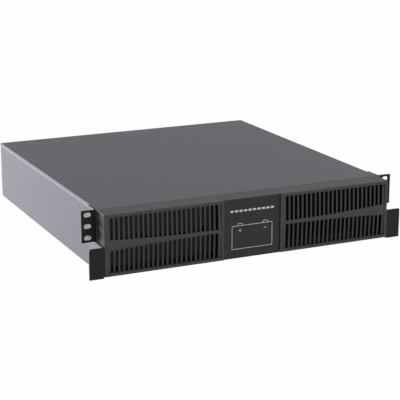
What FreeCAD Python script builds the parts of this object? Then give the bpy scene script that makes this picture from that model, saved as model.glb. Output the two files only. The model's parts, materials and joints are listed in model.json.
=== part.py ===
import FreeCAD
import Part
import math
import os

# Two-unit rack battery pack: steel case, three-piece slotted bezel, rack brackets,
# two battery trays and a rear connection bay.
# Millimetres. The front faces -Y, +X is the viewer's right, +Z is up, base at Z = 0.

# How far a cut runs past the face it opens, and the round on small moulded edges
OVERCUT = 1.0
EDGE_ROUND = 1.0

# Sheet metal
SHEET = 1.2
BEND = 0.4
COVER_RIM = 3.4
COVER_INSET = 0.4
COVER_FLANGE = 20.0
PLATE_MARGIN = 1.0
TOP_FLANGE = 14.0
REAR_FLANGE = 12.0

# Batteries, lying on one side with their tabs facing the aisle
BATTERY_LENGTH = 151.0
BATTERY_HEIGHT = 94.0
BATTERY_WIDTH = 65.0
BATTERY_ROUND = 2.0
LID_HEIGHT = 18.0
LID_GROOVE = 0.8
TAB_LENGTH = 6.3
TAB_WIDTH = 6.35
TAB_THICKNESS = 0.8
TAB_DROP = 13.0
TAB_END = 10.0
ROW_GAP = 4.0

# Cables and tab receptacles
CABLE = 4.4
CABLE_CLEAR = 0.5
LEAD_GAP = 2.9
RECEPTACLE_COVER = 0.3
RECEPTACLE_SIDE = 1.0
RECEPTACLE_HEIGHT = 5.0
FIT = 0.05

# Trays
TRAY_SIDE_CLEAR = 0.3
TRAY_END_CLEAR = 1.0
TRAY_OPENING_CLEAR = 0.5
TRAY_LIFT_CLEAR = 0.2
TRAY_TOP_CLEAR = 0.8
TRAY_FRONT_GAP = 1.0
TRAY_EAR_CLEAR = 0.8
TRAY_NOTCH = 13.0
TRAY_FRONT_CLEAR = 0.3
FOAM = 1.6
BAR_WIDTH = 30.0
RAIL_HEIGHT = 6.0
RAIL_WIDTH = 12.0
RAIL_SETBACK = 8.0
HANDLE_WIDTH = 90.0
HANDLE_REACH = 16.0
HANDLE_ROD = 5.0

# Room left around the trays
POST_ROOM = 1.1
SIDE_ROOM = 1.4
TOP_SPACE = 13.4
WIRING_ROOM = 6.1

# Bezel
BEZEL_DEPTH = 28.0
BEZEL_CLEAR = 0.2
BEZEL_INSET = 1.4
BEZEL_WALL = 2.0
BEZEL_ROUND = 0.6
CENTRE_WIDTH = 86.7
CENTRE_RECESS = 1.5
SEAM = 0.3
FRAME_WIDTH = 4.2
RIDGE_STEP = 0.2
FIELD_DROP = 1.6
SLOT_PITCH = 7.0
SLOT_WIDTH = 4.7
SLOT_INNER_MARGIN = 8.5
SLOT_OUTER_MARGIN = 7.8
SLOT_END_MARGIN = 4.8
BAND_OUTER = 15.0
BAND_INNER = 4.9
HOOK_WIDTH = 10.0
HOOK_ROOT = 12.0
HOOK_THICKNESS = 2.0
HOOK_BARB = 0.8
HOOK_CLEAR = 0.3
HOOK_INSET = 30.0

# Rack brackets
EAR_WIDTH = 21.8
EAR_SHEET = 2.0
EAR_BEND = 1.0
EAR_PLATE = 27.0
EAR_HOLE_EDGE = 8.75
EAR_HOLE_PITCH = 15.875
EAR_HOLE_WIDTH = 6.8
EAR_HOLE_LENGTH = 10.0
EAR_HOLE_COUNT = 3
EAR_HOLE_MARGIN = 6.2
EAR_SPLIT = 1.3
EAR_ROUND = 2.4

# Docking plugs and sockets behind the trays
PLUG_WIDTH = 32.0
PLUG_HEIGHT = 14.0
PLUG_LENGTH = 14.0
DOCK_WALL = 3.0
DOCK_BACK = 6.0
DOCK_CLEAR = 0.3
DOCK_GAP = 4.0

# Fuses and busbars
FUSE_RADIUS = 5.2
FUSE_SPAN = 54.0
FUSE_BASE = 8.0
FUSE_CLIP = 12.0
FUSE_CLIP_DEPTH = 17.0
FUSE_CLIP_WALL = 4.0
FUSE_CLIP_INSET = 1.0
BUSBAR = 2.0
BUSBAR_WIDTH = 12.0
FUSE_GAP = 2.5
BUSBAR_EDGE = 1.0
BUSBAR_GAP = 3.0
LINE_GAP = 1.6

# Circuit breaker on the rear panel
BREAKER_X = -95.0
BREAKER_DEPTH = 50.0
BREAKER_SIDE = 1.5
BREAKER_END = 12.0
BOSS_HEIGHT = 28.0
BOSS_SKIN = 1.1
BOSS_WALL = 3.5
BOSS_PROUD = 2.5
STUD_LENGTH = 6.0
STUD_RADIUS = 2.5
LEVER_WIDTH = 28.0
LEVER_LENGTH = 15.0
LEVER_THICKNESS = 5.0
LEVER_HUB = 4.6
HUB_CLEAR = 1.0
LEVER_CLEAR = 0.4
LEVER_TILT = 25.0
TRUNNION_RADIUS = 2.0
TRUNNION_LENGTH = 2.0
TRUNNION_CLEAR = 0.1
PIVOT_DEPTH = 4.0

# Outlet sockets and ground terminal on the rear panel
OUTLET_START = -10.0
OUTLET_PITCH = 85.0
OUTLET_HEIGHT = 19.0
OUTLET_PROJECTION = 14.0
OUTLET_INSIDE = 14.0
OUTLET_FLANGE = 10.0
OUTLET_RIM = 2.0
OUTLET_FLANGE_SHEET = 2.5
OUTLET_WALL = 3.0
OUTLET_CAVITY = 16.0
CONTACT_PITCH = 20.0
CONTACT_WIDTH = 10.0
CONTACT_THICKNESS = 3.0
CONTACT_TAIL = 8.0
CONTACT_SETBACK = 2.0
CAVITY_SIDE = 1.0
PANEL_CLEAR = 0.2
GROUND_GAP = 2.0
GROUND_RADIUS = 2.5
GROUND_REACH = 13.8
GROUND_WASHER = 6.0
GROUND_WASHER_SHEET = 1.0
GROUND_NUT = 4.6
GROUND_NUT_HEIGHT = 4.0
VENT_WIDTH = 3.0
VENT_HEIGHT = 34.0
VENT_PITCH = 8.0
VENT_GAP = 6.0
VENT_DROP = 6.0

# Screws
SCREW_RADIUS = 1.5
SCREW_HEAD = 2.7
SCREW_HEAD_HEIGHT = 1.8
SCREW_LENGTH = 5.0
EAR_SCREW_COUNT = 3
EAR_SCREW_RADIUS = 1.5
EAR_SCREW_HEAD = 3.0
EAR_SCREW_EDGE = 5.0
EAR_SCREW_PITCH = 22.5
EAR_SCREW_LENGTH = 6.0
EAR_SCREW_RECESS = 1.0
SCREW_CLEAR = 0.1

# Sizes that follow from the contents
RECEPTACLE_WIDTH = TAB_WIDTH + 2 * RECEPTACLE_SIDE
RECEPTACLE_REACH = TAB_LENGTH + RECEPTACLE_COVER
STAGGER = TAB_END + ROW_GAP / 2
AISLE = RECEPTACLE_REACH + CABLE + 2 * CABLE_CLEAR
SIDE_GAP = 2 * SCREW_HEAD + SIDE_ROOM + TRAY_OPENING_CLEAR + BEZEL_WALL + BEZEL_CLEAR - SHEET
CENTRE_GAP = 2 * SCREW_HEAD + POST_ROOM + TRAY_OPENING_CLEAR
FRONT_FLANGE = SIDE_GAP + SHEET - 3 * TRAY_OPENING_CLEAR
TRAY_WIDTH = 2 * (SHEET + TRAY_SIDE_CLEAR + BATTERY_HEIGHT) + AISLE
TRAY_INNER = 2 * (TRAY_END_CLEAR + BATTERY_LENGTH) + ROW_GAP + STAGGER
CASE_WIDTH = 2 * (SHEET + SIDE_GAP + TRAY_WIDTH + CENTRE_GAP)
CASE_HEIGHT = 3 * SHEET + RAIL_HEIGHT + BATTERY_WIDTH + TOP_SPACE
DOCK_DEPTH = PLUG_LENGTH + DOCK_BACK
FUSE_SETBACK = FUSE_GAP + FUSE_CLIP_DEPTH / 2
WIRING_SPACE = FUSE_SETBACK + FUSE_CLIP_DEPTH / 2 + 4 * CABLE + STUD_LENGTH + WIRING_ROOM
BOSS_WIDTH = LEVER_WIDTH + 2 * (LEVER_CLEAR + TRUNNION_LENGTH + BOSS_SKIN)
BREAKER_WIDTH = BOSS_WIDTH + 2 * BREAKER_SIDE
BREAKER_HEIGHT = BOSS_HEIGHT + 2 * BREAKER_END
POLE_PITCH = BREAKER_WIDTH / 2
OUTLET_WIDTH = 2 * CONTACT_PITCH
CASE_DEPTH = TRAY_INNER + 4 * SHEET + DOCK_DEPTH + WIRING_SPACE + BREAKER_DEPTH

# Planes across the depth
Y_FRONT = -(BEZEL_DEPTH + CASE_DEPTH + OUTLET_PROJECTION) / 2
Y_CASE = Y_FRONT + BEZEL_DEPTH
Y_REAR = Y_CASE + CASE_DEPTH
Y_CHASSIS = Y_CASE + SHEET
Y_PANEL = Y_REAR - SHEET
Y_PANEL_IN = Y_PANEL - SHEET
Y_TRAY = Y_CASE + TRAY_INNER
Y_TRAY_END = Y_TRAY + SHEET
Y_PLUG_END = Y_TRAY_END + PLUG_LENGTH
Y_DOCK = Y_TRAY_END + DOCK_DEPTH
Y_DOCK_END = Y_DOCK + SHEET
Y_FUSE = Y_DOCK_END + FUSE_SETBACK
Y_NEGATIVE = Y_FUSE + CABLE + BUSBAR_GAP
Y_BREAKER = Y_PANEL_IN - BREAKER_DEPTH
Y_STUD = Y_BREAKER - STUD_LENGTH
Y_TAIL = Y_PANEL_IN - OUTLET_INSIDE

# Levels
Z_COVER = CASE_HEIGHT - COVER_RIM
Z_PLATE0 = PLATE_MARGIN
Z_PLATE1 = Z_COVER - TRAY_LIFT_CLEAR
Z_TRAY = SHEET + RAIL_HEIGHT
Z_BATTERY = Z_TRAY + SHEET
Z_BATTERY_TOP = Z_BATTERY + BATTERY_WIDTH
Z_BAR = Z_BATTERY_TOP + FOAM
Z_TRAY_TOP = Z_BAR + SHEET
Z_TAB = Z_BATTERY_TOP - TAB_DROP
Z_LEAD = Z_TAB + RECEPTACLE_HEIGHT / 2 + LEAD_GAP + CABLE / 2
Z_OPENING0 = Z_TRAY - TRAY_LIFT_CLEAR
Z_OPENING1 = Z_TRAY_TOP + TRAY_TOP_CLEAR
Z_BEZEL0 = BEZEL_INSET
Z_BEZEL1 = CASE_HEIGHT - BEZEL_INSET
Z_MIDDLE = CASE_HEIGHT / 2
Z_EAR_TOP = CASE_HEIGHT
Z_EAR_LOW = Z_EAR_TOP - 2 * EAR_HOLE_MARGIN - (EAR_HOLE_COUNT - 1) * EAR_HOLE_PITCH
Z_EAR_GRIP = Z_EAR_LOW - EAR_SPLIT
Z_GROUND = SHEET + REAR_FLANGE + GROUND_WASHER + GROUND_GAP
Z_BUSBAR = Z_LEAD - CABLE / 2 - BUSBAR_EDGE
Z_LINE = Z_BUSBAR - LINE_GAP - CABLE / 2
Z_LOAD = 2 * Z_MIDDLE - Z_LINE
Z_FUSE_TOP = SHEET + FUSE_BASE + 2 * (FUSE_RADIUS + FUSE_CLIP_WALL)
Z_FUSE = SHEET + FUSE_BASE + FUSE_CLIP_WALL + FUSE_RADIUS

# Stations across the right half, from the middle outwards
X_CASE = CASE_WIDTH / 2
X_PLATE = X_CASE - PLATE_MARGIN
X_TRAY0 = CENTRE_GAP
X_TRAY1 = CENTRE_GAP + TRAY_WIDTH
X_INNER0 = X_TRAY0 + SHEET + TRAY_SIDE_CLEAR
X_INNER1 = X_INNER0 + BATTERY_HEIGHT
X_OUTER0 = X_INNER1 + AISLE
X_OUTER1 = X_OUTER0 + BATTERY_HEIGHT
X_AISLE = (X_INNER1 + X_OUTER0) / 2
X_LEAD_PLUS = X_INNER1 + CABLE_CLEAR + CABLE / 2
X_LEAD_MINUS = X_OUTER0 - CABLE_CLEAR - CABLE / 2
X_EAR = X_CASE + EAR_WIDTH
X_BEZEL = X_CASE - BEZEL_CLEAR
X_SECTION = CENTRE_WIDTH / 2 + SEAM
X_FUSE_OUT = X_LEAD_PLUS
X_FUSE_IN = X_LEAD_PLUS - FUSE_SPAN
X_REAR_FLANGE = X_CASE - SHEET - REAR_FLANGE
X_OUTLETS = (OUTLET_START, OUTLET_START + OUTLET_PITCH)
X_OUTLET_END = X_OUTLETS[-1] + OUTLET_WIDTH / 2 + OUTLET_FLANGE
X_BREAKER_END = BREAKER_X - BREAKER_WIDTH / 2
X_GROUND = OUTLET_START + OUTLET_PITCH / 2
X_TRAY_EAR = X_BEZEL - BEZEL_WALL - TRAY_EAR_CLEAR
X_POST_SCREW = (CENTRE_GAP - TRAY_OPENING_CLEAR + TRAY_FRONT_GAP) / 2
X_SIDE_SCREW = (X_TRAY1 + TRAY_OPENING_CLEAR + X_BEZEL - BEZEL_WALL) / 2

X_AXIS = FreeCAD.Vector(1, 0, 0)
Y_AXIS = FreeCAD.Vector(0, 1, 0)


def vec(x, y, z):
    return FreeCAD.Vector(x, y, z)


def box(x0, x1, y0, y1, z0, z1):
    return Part.makeBox(x1 - x0, y1 - y0, z1 - z0, vec(x0, y0, z0))


def rod(centre, axis, radius, length):
    return Part.makeCylinder(radius, length, centre, axis)


def across(x0, x1, profile):
    """Prism that runs along X, from a profile of (y, z) points."""
    points = [vec(x0, y, z) for y, z in profile]
    return Part.Face(Part.makePolygon(points + [points[0]])).extrude(X_AXIS * (x1 - x0))


def mirrored(shape):
    return shape.mirror(vec(0, 0, 0), vec(1, 0, 0))


def both_sides(shapes):
    return list(shapes) + [mirrored(shape) for shape in shapes]


def rounded(shape, radius, keep):
    """Round the edges whose middle passes the test."""
    edges = [e for e in shape.Edges if len(e.Vertexes) == 2 and keep(e.CenterOfMass)]
    return shape.makeFillet(radius, edges)


def same(a, b):
    return abs(a - b) < 1e-6


def cut_all(shape, tools):
    return shape.cut(Part.makeCompound(list(tools)))


def fused(shapes):
    whole = shapes[0].multiFuse(shapes[1:])
    return whole.removeSplitter()


def offset_path(path, distance):
    """Shift an open polyline sideways to its left."""
    normals = []
    for a, b in zip(path, path[1:]):
        length = math.hypot(b[0] - a[0], b[1] - a[1])
        normals.append((-(b[1] - a[1]) / length, (b[0] - a[0]) / length))
    shifted = []
    for i, point in enumerate(path):
        before = normals[max(i - 1, 0)]
        after = normals[min(i, len(normals) - 1)]
        scale = distance / (1 + before[0] * after[0] + before[1] * after[1])
        shift_u = (before[0] + after[0]) * scale
        shift_v = (before[1] + after[1]) * scale
        shifted.append((point[0] + shift_u, point[1] + shift_v))
    return shifted


def corner_edges(points, radii):
    """Lines and tangent arcs along points, with one radius for each inner corner."""
    edges = []
    start = points[0]
    for i in range(1, len(points) - 1):
        before = (points[i] - points[i - 1]).normalize()
        after = (points[i + 1] - points[i]).normalize()
        turn = before.getAngle(after)
        reach = radii[i - 1] * math.tan(turn / 2)
        first = points[i] - before * reach
        last = points[i] + after * reach
        to_centre = (after - before).normalize()
        middle = points[i] + to_centre * (radii[i - 1] * (1 / math.cos(turn / 2) - 1))
        edges.append(Part.LineSegment(start, first).toShape())
        edges.append(Part.Arc(first, middle, last).toShape())
        start = last
    edges.append(Part.LineSegment(start, points[-1]).toShape())
    return edges


def folded_sheet(path, sheet, bend, z0, z1):
    """Sheet folded along a plan path, its thickness to the left of the path."""
    inner_path = offset_path(path, sheet)
    outer_radii = []
    inner_radii = []
    for a, b, c in zip(path, path[1:], path[2:]):
        left = (b[0] - a[0]) * (c[1] - b[1]) - (b[1] - a[1]) * (c[0] - b[0]) > 0
        outer_radii.append(bend + sheet if left else bend)
        inner_radii.append(bend if left else bend + sheet)
    near = [vec(u, v, z0) for u, v in path]
    far = [vec(u, v, z0) for u, v in inner_path]
    edges = corner_edges(near, outer_radii)
    edges.append(Part.LineSegment(near[-1], far[-1]).toShape())
    edges += corner_edges(far[::-1], inner_radii[::-1])
    edges.append(Part.LineSegment(far[0], near[0]).toShape())
    return Part.Face(Part.Wire(edges)).extrude(vec(0, 0, z1 - z0))


def cable(points, radius=CABLE / 2):
    """Round lead along points, bent in arcs as wide as the shorter run allows."""
    radii = []
    for a, b, c in zip(points, points[1:], points[2:]):
        turn = (b - a).getAngle(c - b)
        radii.append(0.45 * min((b - a).Length, (c - b).Length) / math.tan(turn / 2))
    path = Part.Wire(corner_edges(points, radii))
    ring = Part.Wire(Part.makeCircle(radius, points[0], points[1] - points[0]))
    return path.makePipeShell([ring], True, False)


def obround(centre_x, centre_z, length, width, y0, y1):
    """Slot with round ends, lying along X and cut through in Y."""
    half = (length - width) / 2
    middle = box(centre_x - half, centre_x + half, y0, y1, centre_z - width / 2, centre_z + width / 2)
    ends = [rod(vec(centre_x + side * half, y0, centre_z), Y_AXIS, width / 2, y1 - y0) for side in (-1, 1)]
    return fused([middle] + ends)


def pan_screw(seat, inward):
    """Pan-head screw lying along Y: its head rests on the seat, its shank runs inward."""
    head = rod(seat, inward * -1, SCREW_HEAD, SCREW_HEAD_HEIGHT)
    face = seat - inward * SCREW_HEAD_HEIGHT
    rim = [e for e in head.Edges if len(e.Vertexes) == 1 and (e.CenterOfMass - face).Length < 1e-6]
    head = head.makeFillet(SCREW_HEAD_HEIGHT * 0.45, rim)
    shank = rod(seat, inward, SCREW_RADIUS, SCREW_LENGTH)
    screw = head.fuse(shank)
    arm = SCREW_HEAD * 0.6
    blade = SCREW_HEAD * 0.14
    depth = SCREW_HEAD_HEIGHT / 2
    for wide, high in ((arm, blade), (blade, arm)):
        recess = Part.makeBox(2 * wide, 2 * depth, 2 * high, face - vec(wide, depth, high))
        screw = screw.cut(recess)
    return screw.removeSplitter()


def screw_hole(seat, inward, depth):
    return rod(seat - inward * OVERCUT, inward, SCREW_RADIUS + SCREW_CLEAR, depth + OVERCUT)


# Screw places, each with its seat on the outermost sheet
def front_plate_seats():
    levels = (Z_OPENING0 + TRAY_NOTCH / 2, Z_OPENING1 - TRAY_NOTCH / 2)
    return [vec(side * X_SIDE_SCREW, Y_CASE, z) for side in (-1, 1) for z in levels]


def tray_seats():
    rise = (Z_OPENING1 - Z_OPENING0) / 4
    levels = (Z_MIDDLE - rise, Z_MIDDLE + rise)
    stations = (X_POST_SCREW, X_SIDE_SCREW)
    return [vec(side * x, Y_CASE - SHEET, z) for side in (-1, 1) for x in stations for z in levels]


def rear_panel_seats():
    x_side = X_CASE - SHEET - REAR_FLANGE / 2
    z_base = SHEET + REAR_FLANGE / 2
    z_high = Z_COVER - COVER_FLANGE - 2 * SCREW_HEAD
    seats = [vec(side * x_side, Y_PANEL, z) for side in (-1, 1) for z in (z_base + 2 * REAR_FLANGE, z_high)]
    seats += [vec(side * x_side * 0.55, Y_PANEL, z_base) for side in (-1, 1)]
    return seats


def cover_seats():
    z = Z_COVER - COVER_FLANGE / 2
    return [vec(side * x, Y_REAR, z) for side in (-1, 1) for x in (X_CASE * 0.3, X_CASE * 0.82)]


def outlet_seats():
    reach = OUTLET_WIDTH / 2 + OUTLET_FLANGE / 2
    y = Y_PANEL + OUTLET_FLANGE_SHEET
    return [vec(x + side * reach, y, Z_MIDDLE) for x in X_OUTLETS for side in (-1, 1)]


def ear_screw_places():
    y = Y_CHASSIS + EAR_PLATE - EAR_SCREW_EDGE
    first = Z_MIDDLE - EAR_SCREW_PITCH * (EAR_SCREW_COUNT - 1) / 2
    return [(y, first + EAR_SCREW_PITCH * i) for i in range(EAR_SCREW_COUNT)]


def ear_screw(y, z, gap=0.0):
    x = X_CASE + EAR_SHEET
    cone = Part.makeCone(EAR_SCREW_HEAD + gap, EAR_SCREW_RADIUS + gap, EAR_SHEET, vec(x, y, z), X_AXIS * -1)
    shank = rod(vec(x, y, z), X_AXIS * -1, EAR_SCREW_RADIUS + gap, EAR_SCREW_LENGTH)
    screw = cone.fuse(shank)
    if gap == 0.0:
        arm = EAR_SCREW_HEAD * 0.5
        blade = EAR_SCREW_HEAD * 0.11
        x0 = x - EAR_SCREW_RECESS
        x1 = x + OVERCUT
        screw = screw.cut(box(x0, x1, y - arm, y + arm, z - blade, z + blade))
        screw = screw.cut(box(x0, x1, y - blade, y + blade, z - arm, z + arm))
    return screw.removeSplitter()


# Case
def chassis():
    y1 = Y_PANEL_IN
    shell = box(-X_CASE, X_CASE, Y_CHASSIS, y1, 0, Z_COVER)
    shell = shell.makeFillet(BEND + SHEET, shell.Edges)
    room = box(-X_CASE + SHEET, X_CASE - SHEET, Y_CHASSIS + SHEET, y1 - SHEET, SHEET, Z_COVER - SHEET)
    room = room.makeFillet(BEND, room.Edges)
    shell = shell.cut(room)
    x_top = X_CASE - TOP_FLANGE
    x_front = X_CASE - FRONT_FLANGE
    x_rear = X_REAR_FLANGE
    y_front = Y_CHASSIS - OVERCUT
    y_rear = y1 + OVERCUT
    top = Z_COVER + OVERCUT
    openings = [
        box(-x_top, x_top, y_front, y_rear, Z_COVER - 2 * SHEET, top),
        box(-x_front, x_front, y_front, Y_CHASSIS + 2 * SHEET, SHEET, top),
        box(-x_rear, x_rear, y1 - 2 * SHEET, y_rear, SHEET + REAR_FLANGE, top),
    ]
    holes = [screw_hole(vec(p.x, Y_CASE, p.z), Y_AXIS, 4 * SHEET) for p in front_plate_seats()]
    holes += [screw_hole(vec(p.x, Y_CASE, p.z), Y_AXIS, 4 * SHEET) for p in tray_seats()]
    holes += [screw_hole(vec(p.x, y1 - 2 * SHEET, p.z), Y_AXIS, 4 * SHEET) for p in rear_panel_seats()]
    holes += both_sides([ear_screw(y, z, FIT) for y, z in ear_screw_places()])
    return cut_all(shell, openings + holes)


def top_cover():
    x = X_CASE - COVER_INSET
    pan = box(-x, x, Y_CASE, Y_REAR, Z_COVER, CASE_HEIGHT)
    pan = rounded(pan, BEND + SHEET, lambda p: same(p.z, CASE_HEIGHT) and p.y > Y_CASE)
    x_in = x - SHEET
    z0 = Z_COVER - OVERCUT
    pan = pan.cut(box(-x_in, x_in, Y_CASE + SHEET, Y_REAR - SHEET, z0, CASE_HEIGHT - SHEET))
    reach = x - REAR_FLANGE
    flange = box(-reach, reach, Y_REAR - SHEET, Y_REAR, Z_COVER - COVER_FLANGE, Z_COVER)
    cover = fused([pan, flange])
    return cut_all(cover, [screw_hole(p, Y_AXIS * -1, 2 * SHEET) for p in cover_seats()])


def hook_levels():
    """Middle height and barb direction of the lower and the upper bezel hooks."""
    lower = (Z_PLATE0 + Z_OPENING0) / 2
    upper = (Z_OPENING1 + Z_PLATE1) / 2
    return ((lower, 1), (upper, -1))


def hook_stations():
    grille = (X_SECTION + HOOK_INSET, X_BEZEL - HOOK_INSET)
    centre = CENTRE_WIDTH / 4
    return grille, centre


def hook(x, z, turn):
    """Snap hook that stands on the nearest bezel wall and catches behind the front plate."""
    inset = BEZEL_CLEAR + BEZEL_WALL / 2
    wall = inset if turn > 0 else CASE_HEIGHT - inset
    back = z - turn * HOOK_THICKNESS / 2
    catch = z + turn * HOOK_THICKNESS / 2
    y_root = Y_CASE - HOOK_ROOT
    y_catch = Y_CHASSIS + HOOK_CLEAR
    y_tip = y_catch + 2 * HOOK_BARB
    profile = [
        (y_root, wall),
        (y_root, catch),
        (y_catch, catch),
        (y_catch, catch + turn * HOOK_BARB),
        (y_tip, catch),
        (y_tip, back),
        (Y_CASE - HOOK_CLEAR, back),
        (Y_CASE - HOOK_CLEAR, wall),
    ]
    return across(x - HOOK_WIDTH / 2, x + HOOK_WIDTH / 2, profile)


def front_plate():
    plate = box(-X_PLATE, X_PLATE, Y_CASE, Y_CHASSIS, Z_PLATE0, Z_PLATE1)
    x0 = X_TRAY0 - TRAY_OPENING_CLEAR
    x1 = X_TRAY1 + TRAY_OPENING_CLEAR
    y0 = Y_CASE - OVERCUT
    y1 = Y_CHASSIS + OVERCUT
    tools = both_sides([box(x0, x1, y0, y1, Z_OPENING0, Z_OPENING1)])
    grille, centre = hook_stations()
    half = HOOK_WIDTH / 2 + HOOK_CLEAR
    rise = HOOK_THICKNESS / 2 + HOOK_BARB + HOOK_CLEAR
    for x in grille + (centre,):
        for z, turn in hook_levels():
            tools += both_sides([box(x - half, x + half, y0, y1, z - rise, z + rise)])
    for seat in front_plate_seats() + tray_seats():
        tools.append(screw_hole(vec(seat.x, Y_CASE, seat.z), Y_AXIS, 2 * SHEET))
    return cut_all(plate, tools)


def vent_fields():
    """Both free stretches of the rear panel, between the side flanges and the fittings."""
    edge = X_REAR_FLANGE - VENT_GAP
    return (-edge, X_BREAKER_END - VENT_GAP), (X_OUTLET_END + VENT_GAP, edge)


def rear_panel():
    plate = box(-X_PLATE, X_PLATE, Y_PANEL_IN, Y_PANEL, Z_PLATE0, Z_PLATE1)
    y0 = Y_PANEL_IN - OVERCUT
    y1 = Y_PANEL + OVERCUT
    w = BOSS_WIDTH / 2 + PANEL_CLEAR
    h = BOSS_HEIGHT / 2 + PANEL_CLEAR
    tools = [box(BREAKER_X - w, BREAKER_X + w, y0, y1, Z_MIDDLE - h, Z_MIDDLE + h)]
    w = OUTLET_WIDTH / 2 + PANEL_CLEAR
    h = OUTLET_HEIGHT / 2 + PANEL_CLEAR
    tools += [box(x - w, x + w, y0, y1, Z_MIDDLE - h, Z_MIDDLE + h) for x in X_OUTLETS]
    tools.append(rod(vec(X_GROUND, y0, Z_GROUND), Y_AXIS, GROUND_RADIUS + FIT, y1 - y0))
    z = Z_COVER - COVER_FLANGE - VENT_DROP - VENT_HEIGHT / 2
    for start, end in vent_fields():
        count = int((end - start - VENT_WIDTH) / VENT_PITCH) + 1
        for i in range(count):
            x = (start + end) / 2 + (i - (count - 1) / 2) * VENT_PITCH
            slot = obround(0, 0, VENT_HEIGHT, VENT_WIDTH, y0, y1)
            slot.rotate(vec(0, 0, 0), Y_AXIS, 90)
            slot.translate(vec(x, 0, z))
            tools.append(slot)
    for seat in rear_panel_seats() + outlet_seats() + cover_seats():
        tools.append(screw_hole(vec(seat.x, Y_PANEL, seat.z), Y_AXIS * -1, 2 * SHEET))
    return cut_all(plate, tools)


def centre_divider():
    y0 = Y_CHASSIS + RAIL_SETBACK
    y1 = Y_TRAY_END
    reach = CENTRE_GAP - TRAY_OPENING_CLEAR
    top = CASE_HEIGHT - SHEET
    x = -SHEET / 2
    path = [(2 * reach, top), (x, top), (x, SHEET), (reach, SHEET)]
    channel = folded_sheet(path, SHEET, BEND, 0, y1 - y0)
    channel.rotate(vec(0, 0, 0), X_AXIS, 90)
    channel.translate(vec(0, y1, 0))
    return channel


def rail_stations():
    return (X_INNER0 + RAIL_WIDTH * 2.5, X_OUTER1 - RAIL_WIDTH * 2.5)


def tray_rails():
    y0 = Y_CHASSIS + RAIL_SETBACK
    half = RAIL_WIDTH / 2
    return both_sides([box(x - half, x + half, y0, Y_TRAY, SHEET, Z_TRAY) for x in rail_stations()])


# Bezel
def slot_columns():
    start = X_SECTION + SLOT_INNER_MARGIN
    end = X_BEZEL - SLOT_OUTER_MARGIN
    count = int((end - start - SLOT_WIDTH) / SLOT_PITCH + 1e-6) + 1
    middle = (start + end) / 2
    return [middle + (i - (count - 1) / 2) * SLOT_PITCH for i in range(count)]


def grille_slots():
    """Two rows of upright slots that stop at the middle band, which widens in a curve outwards."""
    columns = slot_columns()
    span = columns[-1] - columns[0]
    swell = (BAND_OUTER - BAND_INNER) / 2
    reach = (Z_BEZEL1 - Z_BEZEL0) / 2 - SLOT_END_MARGIN
    y0 = Y_FRONT - OVERCUT
    depth = BEZEL_WALL + RIDGE_STEP + FIELD_DROP + 2 * OVERCUT
    slots = []
    for x in columns:
        ends = (x - SLOT_WIDTH / 2, x + SLOT_WIDTH / 2)
        rises = [BAND_INNER / 2 + swell * ((e - columns[0]) / span) ** 2 for e in ends]
        for row in (-1, 1):
            points = [
                vec(ends[0], y0, Z_MIDDLE + row * rises[0]),
                vec(ends[1], y0, Z_MIDDLE + row * rises[1]),
                vec(ends[1], y0, Z_MIDDLE + row * reach),
                vec(ends[0], y0, Z_MIDDLE + row * reach),
            ]
            outline = Part.makePolygon(points + [points[0]])
            slots.append(Part.Face(outline).extrude(Y_AXIS * depth))
    return slots


def bezel_block(x0, x1, y0, y1, inset):
    """Block as high as the case at its back, with a mould taper towards the front."""
    slope = (BEZEL_INSET - BEZEL_CLEAR) / BEZEL_DEPTH
    front, back = [BEZEL_CLEAR + (Y_CASE - y) * slope + inset for y in (y0, y1)]
    return across(x0, x1, [(y0, front), (y1, back), (y1, CASE_HEIGHT - back), (y0, CASE_HEIGHT - front)])


def ridged_block(x0, x1, y0, depth):
    """Block from the plane y0 to a shallow roof, which lies behind the slot field by depth."""
    y_ridge = Y_FRONT + RIDGE_STEP + depth
    y_end = y_ridge + FIELD_DROP
    z0 = Z_BEZEL0 + FRAME_WIDTH
    z1 = Z_BEZEL1 - FRAME_WIDTH
    return across(x0, x1, [(y0, z0), (y_end, z0), (y_ridge, Z_MIDDLE), (y_end, z1), (y0, z1)])


def bezel_shell(x0, x1, y0):
    shell = bezel_block(x0, x1, y0, Y_CASE, 0)
    shell = rounded(shell, BEZEL_ROUND, lambda p: p.y < Y_CASE - FIT)
    w = BEZEL_WALL
    c = TRAY_FRONT_CLEAR
    x_relief = X_TRAY_EAR + c
    y_relief = Y_CASE - SHEET - c
    y1 = Y_CASE + OVERCUT
    hollow = bezel_block(x0 + w, x1 - w, y0 + w, y1, w)
    relief = box(-x_relief, x_relief, y_relief, y1, Z_TRAY - c, Z_OPENING1 + c)
    return cut_all(shell, [hollow, relief])


def bezel_grille():
    shell = bezel_shell(X_SECTION, X_BEZEL, Y_FRONT)
    x0 = X_SECTION + FRAME_WIDTH
    x1 = X_BEZEL - FRAME_WIDTH
    backing = ridged_block(x0, x1, Y_FRONT + BEZEL_WALL / 2, BEZEL_WALL)
    grille = fused([shell, backing]).cut(ridged_block(x0, x1, Y_FRONT - OVERCUT, 0))
    grille = cut_all(grille, grille_slots())
    hooks = [hook(x, z, turn) for x in hook_stations()[0] for z, turn in hook_levels()]
    return fused([grille] + hooks)


def bezel_centre_panel():
    half = CENTRE_WIDTH / 2
    panel = bezel_shell(-half, half, Y_FRONT + CENTRE_RECESS)
    reach = hook_stations()[1]
    hooks = [hook(x, z, turn) for x in (-reach, reach) for z, turn in hook_levels()]
    return fused([panel] + hooks)


# Rack brackets
def ear_holes():
    x = X_EAR - EAR_HOLE_EDGE
    top = Z_EAR_TOP - EAR_HOLE_MARGIN
    levels = [top - i * EAR_HOLE_PITCH for i in range(EAR_HOLE_COUNT)]
    y0 = Y_CASE - OVERCUT
    y1 = Y_CASE + EAR_SHEET + OVERCUT
    return [obround(x, z, EAR_HOLE_LENGTH, EAR_HOLE_WIDTH, y0, y1) for z in levels]


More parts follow.
